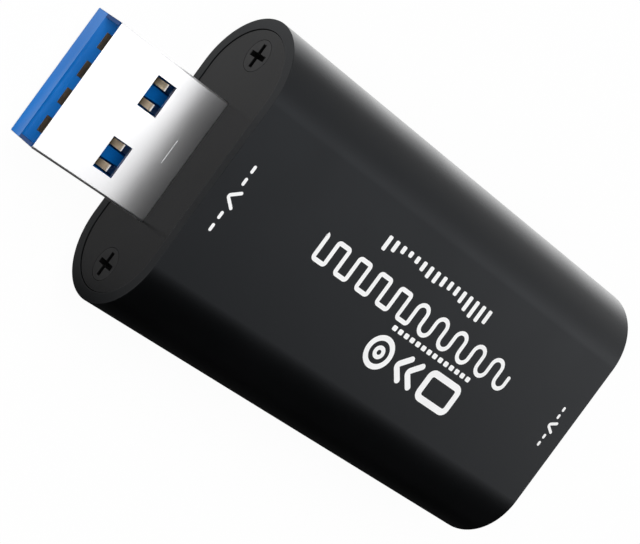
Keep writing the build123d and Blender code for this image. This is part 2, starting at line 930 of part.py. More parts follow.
with BuildPart() as tantalum_capacitors:
    for share in tantalum_shares:
        place_x, place_y = field_place(share)
        end_height = tantalum_height * tantalum_end_height_share
        end_half = tantalum_length / 2
        block(
            (
                place_x - end_half + tantalum_end_sheet,
                place_y - tantalum_width / 2,
                board_top + tantalum_end_sheet,
            ),
            (
                place_x + end_half - tantalum_end_sheet,
                place_y + tantalum_width / 2,
                board_top + tantalum_height,
            ),
        )
        for side in (-1, 1):
            outer = side * end_half
            inner = side * (end_half - tantalum_end_length)
            wall = side * (end_half - tantalum_end_sheet)
            foot_low, foot_high = sorted((outer, inner))
            wall_low, wall_high = sorted((outer, wall))
            end_low_y = place_y - tantalum_end_width / 2
            end_high_y = place_y + tantalum_end_width / 2
            block(
                (place_x + foot_low, end_low_y, board_top),
                (place_x + foot_high, end_high_y, board_top + tantalum_end_sheet),
            )
            block(
                (place_x + wall_low, end_low_y, board_top),
                (place_x + wall_high, end_high_y, board_top + end_height),
            )
finish(tantalum_capacitors.part, "tantalum_capacitors")


def two_terminal_part(place, height):
    """A small ceramic body between two plated end caps."""
    place_x, place_y = place
    half_length = ceramic_length / 2
    half_width = ceramic_width / 2
    block(
        (place_x - half_length, place_y - half_width + body_inset, board_top + body_inset),
        (place_x + half_length, place_y + half_width - body_inset, board_top + height - body_inset),
    )
    for end in (-half_length, half_length - ceramic_cap_length):
        block(
            (place_x + end, place_y - half_width, board_top),
            (place_x + end + ceramic_cap_length, place_y + half_width, board_top + height),
        )


with BuildPart() as ceramic_capacitors:
    for share in ceramic_shares:
        two_terminal_part(field_place(share), ceramic_height)
finish(ceramic_capacitors.part, "ceramic_capacitors")

with BuildPart() as chip_resistors:
    for share in resistor_shares:
        two_terminal_part(field_place(share), resistor_height)
finish(chip_resistors.part, "chip_resistors")
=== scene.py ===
import math

import bmesh
import bpy
from mathutils import Matrix, Vector


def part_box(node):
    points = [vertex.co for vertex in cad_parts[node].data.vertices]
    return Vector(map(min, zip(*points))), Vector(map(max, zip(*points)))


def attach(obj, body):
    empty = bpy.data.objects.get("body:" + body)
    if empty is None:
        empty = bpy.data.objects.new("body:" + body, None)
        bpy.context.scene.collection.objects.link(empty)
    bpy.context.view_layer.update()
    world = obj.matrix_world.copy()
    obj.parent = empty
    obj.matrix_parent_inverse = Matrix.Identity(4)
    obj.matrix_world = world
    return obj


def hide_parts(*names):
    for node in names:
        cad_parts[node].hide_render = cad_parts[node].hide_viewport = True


# Video capture box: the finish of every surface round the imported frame.
# Pieces are shaped in millimetres, in the frame's axes, and brought to metres when they are done.
# +X points out of the plug, +Z out of the printed face.

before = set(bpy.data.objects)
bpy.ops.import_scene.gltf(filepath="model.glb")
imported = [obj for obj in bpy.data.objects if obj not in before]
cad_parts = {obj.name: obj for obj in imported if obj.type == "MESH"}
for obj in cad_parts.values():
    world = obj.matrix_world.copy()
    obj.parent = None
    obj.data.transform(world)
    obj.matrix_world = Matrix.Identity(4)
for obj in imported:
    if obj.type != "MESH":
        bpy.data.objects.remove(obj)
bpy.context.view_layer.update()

MM = 0.001
box_body = "box_body"
spring_body = "contact_springs"


def node_box(name):
    """The lowest and highest corner of a node, in millimetres."""
    low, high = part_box(name)
    return low / MM, high / MM


# Sizes taken from the frame
sleeve_low, sleeve_high = node_box("housing_sleeve")
plate_low, plate_high = node_box("output_end_plate")
rear_plate_low, rear_plate_high = node_box("input_end_plate")
shell_low, shell_high = node_box("plug_shell")
tongue_low, tongue_high = node_box("plug_tongue")
screws_low, screws_high = node_box("output_plate_screws")
socket_high = node_box("video_socket_shell")[1]
section_mid = (sleeve_low.z + sleeve_high.z) / 2
top_z = sleeve_high.z
mouth_x = shell_high.x
plug_mid = (shell_low.z + shell_high.z) / 2
screw_head_radius = (screws_high.z - screws_low.z) / 2
screw_place = screws_high.y - screw_head_radius
screw_length = screws_high.x - screws_low.x

# Sizes that the boxes of the nodes don't give
sleeve_wall = 1.0
sleeve_rim_break = 0.05
plate_rim_break = 0.03
screw_edge_break = 0.03
plug_edge_break = 0.025
tongue_edge_break = 0.02
lining_edge_break = 0.01
spring_edge_break = 0.02
pad_edge_break = 0.05
socket_edge_break = 0.04
pin_edge_break = 0.025
opening_clearance = 0.04
seat_clearance = 0.03
screw_rim = 0.08
screw_shank_radius = 0.85
screw_point_length = 0.9
screw_point_share = 0.35
cross_span = 2.35
cross_arm = 0.5
cross_depth = 0.8
cross_taper = 0.6
cross_shade_start = 0.03
cross_shade_end = 0.09
plug_width = 12.0
plug_sheet = 0.3
plug_bend = 0.22
plug_inner_bend = 0.06
plug_lead = 0.28
window_length = 2.06
window_width = 2.92
window_inner_edge = 1.52
window_depth = 5.34
stamp_length = 2.25
stamp_width = 0.17
stamp_sink = 0.05
stamp_behind_window = 2.9
seam_width = 0.07
seam_sink = 0.12
tongue_drop = 0.1
tongue_side_gap = 0.01
tongue_floor = 0.3
nose_length = 1.9
lining_sheet = 0.06
nose_drop = 0.4
base_depth = 11.5
pad_offsets = (-4.0, -1.3, 1.3, 4.0)
pad_rear_offsets = (-3.0, -1.0, 1.0, 3.0)
pad_width = 1.45
pad_rear_width = 0.8
pad_sheet = 0.15
pad_start = 0.86
pad_wide_end = 4.9
pad_end = 5.9
pad_gap = 0.01
spring_offsets = (-4.0, -2.0, 0.0, 2.0, 4.0)
spring_width = 0.72
spring_tip_share = 0.75
spring_sheet = 0.13
spring_hinge_depth = 11.3
spring_low_depth = 8.3
spring_low_sink = 0.9
spring_apex_depth = 7.9
spring_apex_rise = 0.34
spring_free_end = 5.6
spring_tip_sink = 0.42
spring_fall_curve = 0.55
# Depths inside the mouth between which the springs get painted shade at the front, and a painted
# highlight at the apex
spring_painted_shade_depths = (7.7, 6.85)
spring_painted_highlight_depths = (7.78, 7.86)
slot_front_gap = 0.25
slot_rear_half = 0.6
slot_front_half = 0.42
socket_width = 14.1
socket_height = 4.6
socket_side_height = 2.7
socket_foot_width = 10.4
socket_sheet = 0.3
ink_height = 0.015
ink_sink = 0.005
overrun = 1.0
merge_distance = 0.001
sleeve_steps = 32
plate_steps = 28
rod_sides = 48
flat_angle = 35
normal_weight = 80
place_margin = 0.01
merge_angle = 1
# The least cosine that counts as along an axis
along = 0.9
# Axes by their number
X, Z = 0, 2

# Places worked out from the sizes above
tongue_top = plug_mid - tongue_drop
plug_floor = shell_low.z + plug_sheet
nose_rear = tongue_high.x - nose_length
nose_slope = nose_drop / nose_length
base_front = mouth_x - base_depth
socket_ceiling = socket_high.z - socket_sheet


# Modelling helpers
def deselect():
    bpy.ops.object.select_all(action="DESELECT")


def only(piece):
    """Selects one piece and makes it active."""
    deselect()
    piece.select_set(True)
    bpy.context.view_layer.objects.active = piece


def apply_place():
    """Puts the selected piece's place, turn and size into its mesh."""
    bpy.ops.object.transform_apply(location=True, rotation=True, scale=True)


def name_piece(piece, name):
    piece.name = name
    piece.data.name = name
    return piece


def settle(name):
    """Applies the place of the piece in hand and names it."""
    apply_place()
    return name_piece(bpy.context.object, name)


def add_block(name, low, high):
    """A block between two corners, the start of a piece."""
    deselect()
    low, high = Vector(low), Vector(high)
    bpy.ops.mesh.primitive_cube_add(size=1, location=(low + high) / 2, scale=high - low)
    return settle(name)


def add_rod(name, radius, start, length):
    """A round bar along X from a start point, the start of a turned piece."""
    deselect()
    bpy.ops.mesh.primitive_cylinder_add(
        vertices=rod_sides,
        radius=radius,
        depth=abs(length),
        location=start + Vector((length / 2, 0, 0)),
        rotation=(0, math.pi / 2, 0),
    )
    return settle(name)


def pick(piece, kind, wanted):
    """Opens a piece with the edges or faces selected that a test names by place and direction."""
    only(piece)
    bpy.ops.object.mode_set(mode="EDIT")
    bpy.ops.mesh.select_mode(type=kind)
    bpy.ops.mesh.select_all(action="DESELECT")
    mesh = bmesh.from_edit_mesh(piece.data)
    if kind == "FACE":
        for face in mesh.faces:
            face.select_set(wanted(face.calc_center_median(), face.normal))
    else:
        for edge in mesh.edges:
            start, end = (vertex.co for vertex in edge.verts)
            edge.select_set(wanted((start + end) / 2, (end - start).normalized()))
    mesh.select_flush_mode()
    bmesh.update_edit_mesh(piece.data)


def pick_end(piece, way):
    """Opens a piece with its flat end selected that looks along X, to +X for 1 and to -X for -1."""
    pick(piece, "FACE", lambda place, normal: normal.x * way > along)


def close_edit():
    bpy.ops.object.mode_set(mode="OBJECT")


def merge_doubles():
    bpy.ops.mesh.select_all(action="SELECT")
    bpy.ops.mesh.remove_doubles(threshold=merge_distance)


def extend(reach, shares=(1, 1, 1), centre=(0, 0, 0)):
    """Extrudes what is selected, then sizes its far end about a centre."""
    bpy.ops.mesh.extrude_region_move(TRANSFORM_OT_translate={"value": reach})
    bpy.ops.transform.resize(value=shares, center_override=centre)


def round_edges(piece, axis, radius, segments):
    """Rounds the edges that run along one axis."""
    pick(piece, "EDGE", lambda place, run: abs(run[axis]) > along)
    bpy.ops.mesh.bevel(offset=radius, segments=segments, affect="EDGES", clamp_overlap=False)
    merge_doubles()
    close_edit()


def hollow(piece, axis, wall):
    """Opens a prism along one axis into a tube with an even wall."""
    pick(piece, "FACE", lambda place, normal: abs(normal[axis]) > along)
    bpy.ops.mesh.inset(thickness=wall, use_even_offset=True)
    bpy.ops.mesh.bridge_edge_loops()
    close_edit()


def apply_modifier(piece, kind, **settings):
    only(piece)
    modifier = piece.modifiers.new(kind.lower(), kind)
    for key, value in settings.items():
        setattr(modifier, key, value)
    bpy.ops.object.modifier_apply(modifier=modifier.name)


def combine(piece, tool, operation):
    """Cuts a tool out of a piece, or joins it on, and clears the tool away."""
    apply_modifier(piece, "BOOLEAN", object=tool, operation=operation, solver="EXACT")
    bpy.data.objects.remove(tool)


def cut(piece, tool):
    combine(piece, tool, "DIFFERENCE")


def cut_block(piece, low, high):
    """Cuts the block between two corners out of a piece."""
    cut(piece, add_block("block", low, high))


def break_edges(piece, width, segments=2, angle=40):
    """Softens every edge sharper than an angle, in degrees, and shades the rest smooth or flat."""
    apply_modifier(
        piece,
        "BEVEL",
        width=width,
        segments=segments,
        limit_method="ANGLE",
        angle_limit=math.radians(angle),
        use_clamp_overlap=True,
    )
    bpy.ops.object.shade_smooth_by_angle(angle=math.radians(flat_angle))
    apply_modifier(piece, "WEIGHTED_NORMAL", keep_sharp=True, weight=normal_weight)


def own_copy(source):
    """A copy of a piece with a mesh of its own, selected."""
    twin = source.copy()
    twin.data = source.data.copy()
    bpy.context.scene.collection.objects.link(twin)
    only(twin)
    return twin


def turn_half(piece, name):
    """A copy of a piece, turned half round about the upright axis through the sleeve's middle."""
    twin = own_copy(piece)
    middle_x = (sleeve_low.x + sleeve_high.x) / 2
    twin.matrix_world = Matrix.Translation((2 * middle_x, 0, 0)) @ Matrix.Rotation(math.pi, 4, "Z")
    return settle(name)


def copy_to(piece, name, shift):
    """A copy of a piece, moved by a shift."""
    twin = own_copy(piece)
    twin.location = shift
    return settle(name)


def join(name, pieces):
    """Several meshes as one piece."""
    deselect()
    for piece in pieces:
        piece.select_set(True)
    bpy.context.view_layer.objects.active = pieces[0]
    bpy.ops.object.join()
    return name_piece(bpy.context.object, name)


def dress(piece, material, replaced=(), body=box_body):
    """Brings a finished piece to metres, gives it its material and hangs it on its body."""
    only(piece)
    piece.scale = (MM, MM, MM)
    apply_place()
    piece.data.materials.clear()
    piece.data.materials.append(material)
    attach(piece, body)
    if replaced:
        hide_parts(*replaced)


# Shared effects, each a node group with named inputs and outputs
coarse_grain_share = 0.22
patch_noise_low = 0.35
patch_noise_high = 0.65
gloss_patch_share = 1.7
# The edge mask starts and is full where the rounded normal has turned this far, as a cosine; it is wear
# on most pieces and a painted highlight on the springs
edge_mask_first_turn = 0.998
edge_mask_full_turn = 0.9
edge_mask_break_scale = 900.0


def new_group(name, result, **values):
    """An empty shader group: a place and named values go in, and one result comes out."""
    group = bpy.data.node_groups.new(name, "ShaderNodeTree")
    group.interface.new_socket("Vector", in_out="INPUT", socket_type="NodeSocketVector")
    for label, value in values.items():
        kind = "NodeSocketVector" if isinstance(value, tuple) else "NodeSocketFloat"
        group.interface.new_socket(label, in_out="INPUT", socket_type=kind).default_value = value
    group.interface.new_socket(result, in_out="OUTPUT", socket_type="NodeSocketFloat")
    given = group.nodes.new("NodeGroupInput")
    made = group.nodes.new("NodeGroupOutput")
    return group, given.outputs, made.inputs[0]


def add_node(tree, kind, links=None, **settings):
    """A node with its settings, and each input fed by a socket or given its value."""
    node = tree.nodes.new("ShaderNode" + kind)
    for key, value in settings.items():
        setattr(node, key, value)
    for label, source in (links or {}).items():
        if hasattr(source, "is_output"):
            tree.links.new(source, node.inputs[label])
        else:
            node.inputs[label].default_value = source
    return node


# Sockets that share a name with another are given by number
def work_out(tree, operation, first, second):
    """What one operation makes of two values."""
    return add_node(tree, "Math", {0: first, 1: second}, operation=operation).outputs[0]


def mix_values(tree, share, under, over):
    """A value between two, by the share of the second."""
    return add_node(tree, "Mix", {0: share, 2: under, 3: over}, data_type="FLOAT").outputs[0]


def mix_colours(tree, share, under, over):
    """A colour between two, by the share of the second."""
    return add_node(tree, "Mix", {0: share, 6: under, 7: over}, data_type="RGBA").outputs[2]


def make_grain_group():
    """Fine even speckle, as on blasted and anodised metal or moulded plastic."""
    group, given, made = new_group("fine_grain", "Height", Scale=4000.0, Mottle=0.35)
    fine = add_node(group, "TexNoise", {"Vector": given[0], "Scale": given[1], "Detail": 3.0})
    coarse_scale = work_out(group, "MULTIPLY", given[1], coarse_grain_share)
    coarse = add_node(group, "TexNoise", {"Vector": given[0], "Scale": coarse_scale})
    height = mix_values(group, given[2], fine.outputs[0], coarse.outputs[0])
    group.links.new(height, made)
    return group


def make_handling_group():
    """Large soft patches where hands have touched the surface."""
    group, given, made = new_group("handling", "Value", Scale=90.0, Low=0.0, High=1.0)
    patches = add_node(group, "TexNoise", {"Vector": given[0], "Scale": given[1], "Detail": 2.0})
    spread = add_node(
        group,
        "MapRange",
        {0: patches.outputs[0], 1: patch_noise_low, 2: patch_noise_high, 3: given[2], 4: given[3]},
        interpolation_type="SMOOTHSTEP",
    )
    group.links.new(spread.outputs[0], made)
    return group


def make_brushing_group():
    """Fine lines along one way, as on rolled sheet."""
    stretch = (0.03, 1.0, 1.0)
    group, given, made = new_group("rolled_lines", "Height", Scale=3000.0, Stretch=stretch)
    drawn = add_node(group, "VectorMath", {0: given[0], 1: given[2]}, operation="MULTIPLY")
    lines = add_node(group, "TexNoise", {"Vector": drawn.outputs[0], "Scale": given[1], "Detail": 2.0})
    group.links.new(lines.outputs[0], made)
    return group


def make_wear_and_glint_group():
    """A mask of the outer edges, broken up by noise, from how far the rounded normal turns away. It
    marks worn edges, and on the springs a painted highlight.
    """
    group, given, made = new_group("edge_wear", "Mask", Radius=0.0002, Strength=1.0)
    rounded = add_node(group, "Bevel", {"Radius": given[1]}, samples=4)
    flat = add_node(group, "NewGeometry")
    turned = add_node(
        group, "VectorMath", {0: rounded.outputs[0], 1: flat.outputs["Normal"]}, operation="DOT_PRODUCT"
    )
    edge = add_node(
        group, "MapRange", {0: turned.outputs["Value"], 1: edge_mask_first_turn, 2: edge_mask_full_turn}
    )
    breaks = add_node(group, "TexNoise", {"Vector": given[0], "Scale": edge_mask_break_scale, "Detail": 3.0})
    broken = work_out(group, "MULTIPLY", edge.outputs[0], breaks.outputs[0])
    strong = add_node(group, "Math", {0: broken, 1: given[2]}, operation="MULTIPLY", use_clamp=True)
    group.links.new(strong.outputs[0], made)
    return group


def make_reach_group():
    """A mask that rises from none to full between two places along X."""
    group, given, made = new_group("reach_along_x", "Mask", Start=0.0, End=1.0)
    place = add_node(group, "SeparateXYZ", {0: given[0]})
    mask = add_node(group, "MapRange", {0: place.outputs[0], 1: given[1], 2: given[2]})
    group.links.new(mask.outputs[0], made)
    return group


grain_group = make_grain_group()
handling_group = make_handling_group()
brushing_group = make_brushing_group()
wear_and_glint_group = make_wear_and_glint_group()
reach_group = make_reach_group()


# Materials
def place_group(tree, group, links):
    """A shared effect in a material, with that material's own values."""
    return add_node(tree, "Group", links, node_tree=group).outputs[0]


def finish_material(
    name,
    base,
    shade,
    roughness,
    grain=5000.0,
    bump=0.00002,
    patches=90.0,
    worn=None,
    edge_wear_and_glint_strength=0.0,
    lines=None,
    **plain,
):
    """A surface whose colour and gloss drift between two values, with grain or lines, and edges in
    another colour: wear on most pieces, a painted highlight on the springs.

    base and shade are the two colours, roughness the two values between which the gloss drifts,
    bump the depth in metres, and plain the constants of the shader's own sockets.
    """
    material = bpy.data.materials.new(name)
    material.use_nodes = True
    tree = material.node_tree
    shader = tree.nodes["Principled BSDF"]
    place = add_node(tree, "TexCoord").outputs["Object"]
    drift = place_group(tree, handling_group, {"Vector": place, "Scale": patches})
    colour = mix_colours(tree, drift, (*base, 1.0), (*shade, 1.0))
    if edge_wear_and_glint_strength:
        mask = place_group(tree, wear_and_glint_group, {"Vector": place, "Strength": edge_wear_and_glint_strength})
        colour = mix_colours(tree, mask, colour, (*worn, 1.0))
    tree.links.new(colour, shader.inputs["Base Color"])
    gloss = place_group(
        tree,
        handling_group,
        {
            "Vector": place,
            "Scale": patches * gloss_patch_share,
            "Low": roughness[0],
            "High": roughness[1],
        },
    )
    tree.links.new(gloss, shader.inputs["Roughness"])
    if lines:
        height = place_group(tree, brushing_group, {"Vector": place, "Scale": grain, "Stretch": lines})
    else:
        height = place_group(tree, grain_group, {"Vector": place, "Scale": grain})
    relief = add_node(tree, "Bump", {"Height": height, "Distance": bump, "Strength": 1.0})
    tree.links.new(relief.outputs[0], shader.inputs["Normal"])
    for label, value in plain.items():
        shader.inputs[label.replace("_", " ")].default_value = value
    return material


black_anodised = finish_material(
    "black_anodised_sleeve",
    (0.0012, 0.0013, 0.0015),
    (0.0018, 0.0019, 0.0022),
    (0.3, 0.335),
    grain=5200.0,
    bump=0.000003,
    worn=(0.03, 0.03, 0.031),
    edge_wear_and_glint_strength=0.3,
    Specular_IOR_Level=0.21,
    Specular_Tint=(0.86, 0.92, 1.0, 1.0),
)
black_plate = finish_material(
    "black_anodised_plate",
    (0.004, 0.0041, 0.0045),
    (0.0055, 0.0056, 0.006),
    (0.22, 0.27),
    grain=4200.0,
    bump=0.000003,
    worn=(0.03, 0.03, 0.031),
    edge_wear_and_glint_strength=0.25,
    Specular_IOR_Level=0.2,
)
black_screw = finish_material(
    "black_oxide_screw",
    (0.004, 0.004, 0.0044),
    (0.007, 0.007, 0.0075),
    (0.3, 0.42),
    grain=6000.0,
    bump=0.000004,
    patches=600.0,
    worn=(0.04, 0.04, 0.041),
    edge_wear_and_glint_strength=0.4,
    Specular_IOR_Level=0.25,
)
bright_shell = finish_material(
    "bright_nickel_shell",
    (0.95, 0.95, 0.955),
    (0.92, 0.92, 0.93),
    (0.32, 0.37),
    grain=2600.0,
    bump=0.000001,
    patches=60.0,
    lines=(0.04, 1.0, 1.0),
    Metallic=1.0,
)
blue_plastic = finish_material(
    "moulded_blue",
    (0.003, 0.156, 0.53),
    (0.003, 0.142, 0.488),
    (0.3, 0.36),
    bump=0.000003,
    patches=260.0,
    Specular_IOR_Level=0.44,
)
# A darker copy of the blue, as painted shade on the linings in the mouth's corners
blue_in_painted_shade = finish_material(
    "moulded_blue_in_the_shade",
    (0.002, 0.043, 0.172),
    (0.002, 0.034, 0.146),
    (0.4, 0.5),
    bump=0.000003,
    patches=260.0,
    Specular_IOR_Level=0.15,
)
rolled_metal = {"lines": (0.05, 1.0, 1.0), "Metallic": 1.0}
plating = {"bump": 0.000002, "patches": 700.0, **rolled_metal}
gold_contact = finish_material(
    "gold_plate", (0.86, 0.62, 0.33), (0.7, 0.47, 0.23), (0.28, 0.38), **plating
)
# A darker copy of the gold as painted shade on the pads, which lie under the shell's top sheet
pad_gold_in_painted_shade = finish_material(
    "gold_plate_of_the_pads_in_painted_shade", (0.34, 0.24, 0.13), (0.26, 0.18, 0.1), (0.3, 0.4), **plating
)


def reach_mask(tree, start, end):
    """None before one place along X and full past another, both in millimetres."""
    place = add_node(tree, "TexCoord").outputs["Object"]
    return place_group(tree, reach_group, {"Vector": place, "Start": start * MM, "End": end * MM})


def lay_over(tree, label, mask, over, mix):
    """Brings a colour or a value in over what feeds one socket of the shader, by a mixing helper."""
    target = tree.nodes["Principled BSDF"].inputs[label]
    tree.links.new(mix(tree, mask, target.links[0].from_socket, over), target)


def paint_light_on_contacts(material, depths, colour):
    """A colour painted on the contacts between two depths inside the mouth; it carries the springs'
    painted shade and their painted highlight.
    """
    tree = material.node_tree
    mask = reach_mask(tree, mouth_x - depths[0], mouth_x - depths[1])
    lay_over(tree, "Base Color", mask, (*colour, 1.0), mix_colours)


def paint_shade_in_crosses(material, colour, roughness):
    """Painted shade in the crosses of the screws at both ends: a dull black, with full roughness, from
    just below their faces.
    """
    tree = material.node_tree
    front = reach_mask(tree, plate_high.x - cross_shade_start, plate_high.x - cross_shade_end)
    rear = reach_mask(tree, rear_plate_low.x + cross_shade_start, rear_plate_low.x + cross_shade_end)
    mask = work_out(tree, "MULTIPLY", front, rear)
    lay_over(tree, "Base Color", mask, (*colour, 1.0), mix_colours)
    lay_over(tree, "Roughness", mask, roughness, mix_values)


# Painted shade deep in the screws' cross recesses
paint_shade_in_crosses(black_screw, (0.0004, 0.0004, 0.0004), 1.0)
# The springs' pale edge colour is a painted highlight along their edges
spring_gold_with_painted_light = finish_material(
    "spring_gold_with_painted_shade_and_highlight",
    (0.52, 0.43, 0.31),
    (0.44, 0.34, 0.24),
    (0.28, 0.36),
    grain=7000.0,
    bump=0.000003,
    patches=900.0,
    worn=(0.95, 0.88, 0.78),
    edge_wear_and_glint_strength=0.5,
    **rolled_metal,
)
# Painted shade darkens each spring's front towards its tip, and a painted highlight lies along its apex
paint_light_on_contacts(spring_gold_with_painted_light, spring_painted_shade_depths, (0.04, 0.031, 0.018))
paint_light_on_contacts(spring_gold_with_painted_light, spring_painted_highlight_depths, (1.0, 0.95, 0.88))
black_plastic = finish_material(
    "moulded_black", (0.006, 0.006, 0.0065), (0.009, 0.009, 0.0096), (0.36, 0.46), bump=0.000005
)
board_mask = finish_material(
    "board_solder_mask",
    (0.012, 0.09, 0.035),
    (0.02, 0.14, 0.06),
    (0.25, 0.35),
    grain=1800.0,
    bump=0.00001,
    patches=500.0,
)
chip_moulding = finish_material(
    "chip_moulding",
    (0.016, 0.016, 0.017),
    (0.028, 0.028, 0.03),
    (0.5, 0.62),
    grain=6500.0,
    bump=0.00001,
)
soft_pad = finish_material(
    "soft_grey_pad", (0.2, 0.27, 0.34), (0.26, 0.33, 0.4), (0.65, 0.8), grain=3000.0
)
bright_can = finish_material(
    "crystal_lid", (0.7, 0.7, 0.68), (0.6, 0.6, 0.59), (0.25, 0.36), grain=4000.0, **rolled_metal
)
ferrite = finish_material("ferrite", (0.022, 0.022, 0.023), (0.036, 0.036, 0.037), (0.55, 0.7))
tantalum = finish_material(
    "amber_moulding", (0.75, 0.36, 0.05), (0.66, 0.3, 0.04), (0.4, 0.5), bump=0.000008
)
tan_ceramic = finish_material(
    "tan_ceramic", (0.42, 0.3, 0.18), (0.34, 0.24, 0.15), (0.45, 0.6), grain=7000.0, bump=0.000008
)
black_ceramic = finish_material(
    "black_glaze", (0.015, 0.015, 0.017), (0.03, 0.03, 0.032), (0.3, 0.4), grain=7000.0, bump=0.000005
)
white_ink = finish_material(
    "white_ink",
    (0.97, 0.97, 0.97),
    (0.93, 0.93, 0.93),
    (0.5, 0.6),
    grain=6000.0,
    bump=0.000004,
    patches=400.0,
)

finishes = (
    (black_anodised, "housing_sleeve"),
    (black_plate, "output_end_plate", "input_end_plate"),
    (black_screw, "output_plate_screws", "input_plate_screws"),
    (board_mask, "circuit_board"),
    (bright_shell, "plug_shell", "video_socket_shell"),
    (blue_plastic, "plug_tongue"),
    (pad_gold_in_painted_shade, "plug_signal_contacts"),
    (spring_gold_with_painted_light, "plug_contact_springs"),
    (gold_contact, "plug_spring_roots", "video_socket_upper_contacts", "video_socket_lower_contacts"),
    (black_plastic, "video_socket_block"),
    (chip_moulding, "capture_chip", "flash_memory", "voltage_regulators", "surge_protectors"),
    (soft_pad, "thermal_pad"),
    (bright_can, "crystal"),
    (ferrite, "power_inductors"),
    (tantalum, "tantalum_capacitors"),
    (tan_ceramic, "ceramic_capacitors"),
    (black_ceramic, "chip_resistors"),
)
for finish, *finished_nodes in finishes:
    for finished_node in finished_nodes:
        for material_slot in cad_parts[finished_node].material_slots:
            material_slot.material = finish


# Sleeve
def make_sleeve():
    piece = add_block("sleeve_body", sleeve_low, sleeve_high)
    round_edges(piece, X, (sleeve_high.z - sleeve_low.z) / 2, sleeve_steps)
    hollow(piece, X, sleeve_wall)
    break_edges(piece, sleeve_rim_break, angle=50)
    dress(piece, black_anodised, ["housing_sleeve"])


# End plates
def add_socket_opening():
    """A bar through the plate with the video socket's section, grown all round by sheet and gap."""
    growth = socket_sheet + opening_clearance
    mitre = growth * math.tan(math.pi / 8)
    half = socket_width / 2 + growth
    foot_half = socket_foot_width / 2 + mitre
    ceiling = socket_ceiling + growth
    shoulder = socket_ceiling - socket_side_height - mitre
    foot = socket_ceiling - socket_height - growth
    low = (rear_plate_low.x - overrun, -half, shoulder)
    opening = add_block("opening", low, (rear_plate_high.x + overrun, half, ceiling))
    pick(opening, "FACE", lambda place, normal: normal.z < -along)
    extend((0, 0, foot - shoulder), (1, foot_half / half, 1), (0, 0, foot))
    close_edit()
    round_edges(opening, X, growth, segments=4)
    return opening


def cut_screw_seats(piece, face_x, outward):
    """Two sunk seats for the screw heads and their through holes."""
    seat_radius = screw_head_radius + seat_clearance
    seat_depth = seat_radius - screw_shank_radius
    thickness = plate_high.x - plate_low.x
    shank_share = (screw_shank_radius + seat_clearance) / seat_radius
    for side in (-1, 1):
        centre = Vector((face_x, side * screw_place, section_mid))
        rim = Vector((outward * screw_rim, 0, 0))
        seat = add_rod("seat", seat_radius, centre + rim, -2 * rim.x)
        pick_end(seat, -outward)
        extend((-outward * seat_depth, 0, 0), (1, shank_share, shank_share), centre)
        extend((-outward * thickness, 0, 0))
        close_edit()
        cut(piece, seat)


def make_plate(name, low, high, outward, opening, node_name):
    """An end plate with the hole of its connector and two screw seats."""
    piece = add_block(name, low, high)
    round_edges(piece, X, (high.z - low.z) / 2, plate_steps)
    cut(piece, opening)
    cut_screw_seats(piece, high.x if outward > 0 else low.x, outward)
    break_edges(piece, plate_rim_break, angle=50)
    dress(piece, black_plate, [node_name])


def make_plates():
    half_width = plug_width / 2 + opening_clearance
    plug_opening = add_block(
        "plug_opening",
        (plate_low.x - overrun, -half_width, shell_low.z - opening_clearance),
        (plate_high.x + overrun, half_width, shell_high.z + opening_clearance),
    )
    round_edges(plug_opening, X, plug_bend + opening_clearance, segments=5)
    make_plate("output_plate", plate_low, plate_high, 1, plug_opening, "output_end_plate")
    socket_opening = add_socket_opening()
    make_plate("input_plate", rear_plate_low, rear_plate_high, -1, socket_opening, "input_end_plate")


# Screws
def make_screw():
    """One countersunk screw at the output end, on the +Y side, with a cross recess."""
    head = Vector((plate_high.x, screw_place, section_mid))
    cone = screw_head_radius - screw_shank_radius
    shank = screw_length - screw_rim - cone - screw_point_length
    shank_share = screw_shank_radius / screw_head_radius
    piece = add_rod("output_screw_left", screw_head_radius, head, -screw_rim)
    pick_end(piece, -1)
    extend((-cone, 0, 0), (1, shank_share, shank_share), head)
    extend((-shank, 0, 0))
    extend((-screw_point_length, 0, 0), (1, screw_point_share, screw_point_share), head)
    close_edit()
    for half_y, half_z in ((cross_span / 2, cross_arm / 2), (cross_arm / 2, cross_span / 2)):
        arm = add_block(
            "arm",
            head + Vector((-cross_depth, -half_y, -half_z)),
            head + Vector((screw_rim, half_y, half_z)),
        )
        pick_end(arm, -1)
        bpy.ops.transform.resize(value=(1, cross_taper, cross_taper), center_override=head)
        close_edit()
        cut(piece, arm)
    break_edges(piece, screw_edge_break)
    return piece


def make_screws():
    first = make_screw()
    other = copy_to(first, "output_screw_right", (0, -2 * screw_place, 0))
    rear_pair = [turn_half(first, "input_screw_left"), turn_half(other, "input_screw_right")]
    for piece in (first, other):
        dress(piece, black_screw, ["output_plate_screws"])
    for piece in rear_pair:
        dress(piece, black_screw, ["input_plate_screws"])


# Plug shell
def add_plug_bore():
    """The room inside the folded shell, widened at the mouth by its lead."""
    inner_half = plug_width / 2 - plug_sheet
    inner_height = shell_high.z - shell_low.z - 2 * plug_sheet
    bore = add_block(
        "bore",
        (shell_low.x - overrun, -inner_half, shell_low.z + plug_sheet),
        (mouth_x - plug_lead, inner_half, shell_high.z - plug_sheet),
    )
    round_edges(bore, X, plug_inner_bend, segments=3)
    pick_end(bore, 1)
    wider = (1, 1 + plug_lead / inner_half, 1 + 2 * plug_lead / inner_height)
    extend((plug_lead, 0, 0), wider, (mouth_x, 0, plug_mid))
    extend((overrun, 0, 0))
    close_edit()
    return bore


